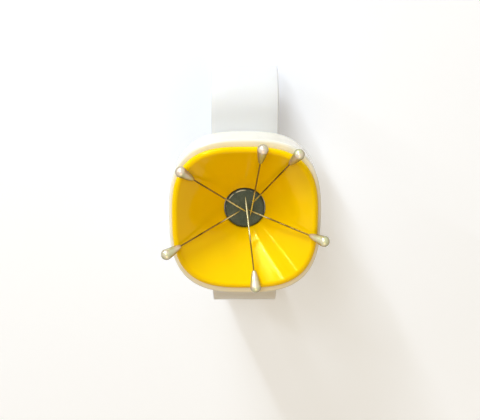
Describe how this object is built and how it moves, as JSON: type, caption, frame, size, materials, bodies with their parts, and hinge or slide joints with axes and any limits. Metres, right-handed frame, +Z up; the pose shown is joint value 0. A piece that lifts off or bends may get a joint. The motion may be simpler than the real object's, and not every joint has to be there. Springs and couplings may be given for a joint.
{
  "type": "magnetic wrist pincushion",
  "caption": "Rounded-square pin dish with a magnet at the bottom of its funnel, on a lapped wrist band, with pearl-headed pins lying in it.",
  "frame": {"origin": "on the band's flat underside, straight below the dish's axis", "axes": "+Z up out of the dish, +X along the wrist, +Y along the band's top run"},
  "size_m": [0.0693, 0.1095, 0.0716],
  "materials": {
    "band_plastic": "glossy flexible moulding",
    "housing_plastic": "glossy moulding",
    "dish_plastic": "polished moulding",
    "clasp_plastic": "satin moulding",
    "ferrite": "ground and coated ferrite",
    "zinc_steel": "zinc plated",
    "pin_steel": "gold-tone plated steel",
    "pearl": "pearl lacquer"
  },
  "bodies": {
    "band": {"band_main": "band_plastic"},
    "tongue": {"band_tongue": "band_plastic", "peg_clasp": "clasp_plastic"},
    "head": {"base_plate": "housing_plastic", "base_screw_1": "zinc_steel", "base_screw_2": "zinc_steel", "base_screw_3": "zinc_steel", "base_screw_4": "zinc_steel", "backing_plate": "zinc_steel", "magnet": "ferrite", "funnel_dish": "dish_plastic", "housing_shell": "housing_plastic"},
    "pin_1": {"pin_1_shaft": "pin_steel", "pin_1_head": "pearl"},
    "pin_2": {"pin_2_shaft": "pin_steel", "pin_2_head": "pearl"},
    "pin_3": {"pin_3_shaft": "pin_steel", "pin_3_head": "pearl"},
    "pin_4": {"pin_4_shaft": "pin_steel", "pin_4_head": "pearl"},
    "pin_5": {"pin_5_shaft": "pin_steel", "pin_5_head": "pearl"},
    "pin_6": {"pin_6_shaft": "pin_steel", "pin_6_head": "pearl"}
  },
  "joints": [
    {"name": "head_slide", "type": "slide", "parent": "band", "child": "head", "axis": [0, 1, 0], "range_m": [-0.015, 0.022]},
    {"name": "tongue_lift", "type": "hinge", "parent": "band", "child": "tongue", "pos_m": [0, 0.031, 0.0027], "axis": [-1, 0, 0], "range_deg": [0, 20]},
    {"name": "pin_1_pull", "type": "slide", "parent": "head", "child": "pin_1", "axis": [0.1219, 0.8457, 0.5196], "range_m": [0, 0.045]},
    {"name": "pin_2_pull", "type": "slide", "parent": "head", "child": "pin_2", "axis": [0.4757, 0.6694, 0.5707], "range_m": [0, 0.045]},
    {"name": "pin_3_pull", "type": "slide", "parent": "head", "child": "pin_3", "axis": [0.7971, -0.1899, 0.5733], "range_m": [0, 0.045]},
    {"name": "pin_4_pull", "type": "slide", "parent": "head", "child": "pin_4", "axis": [0.11, -0.8828, 0.4567], "range_m": [0, 0.045]},
    {"name": "pin_5_pull", "type": "slide", "parent": "head", "child": "pin_5", "axis": [-0.7761, -0.3326, 0.5357], "range_m": [0, 0.045]},
    {"name": "pin_6_pull", "type": "slide", "parent": "head", "child": "pin_6", "axis": [-0.6846, 0.5544, 0.4734], "range_m": [0, 0.045]}
  ]
}
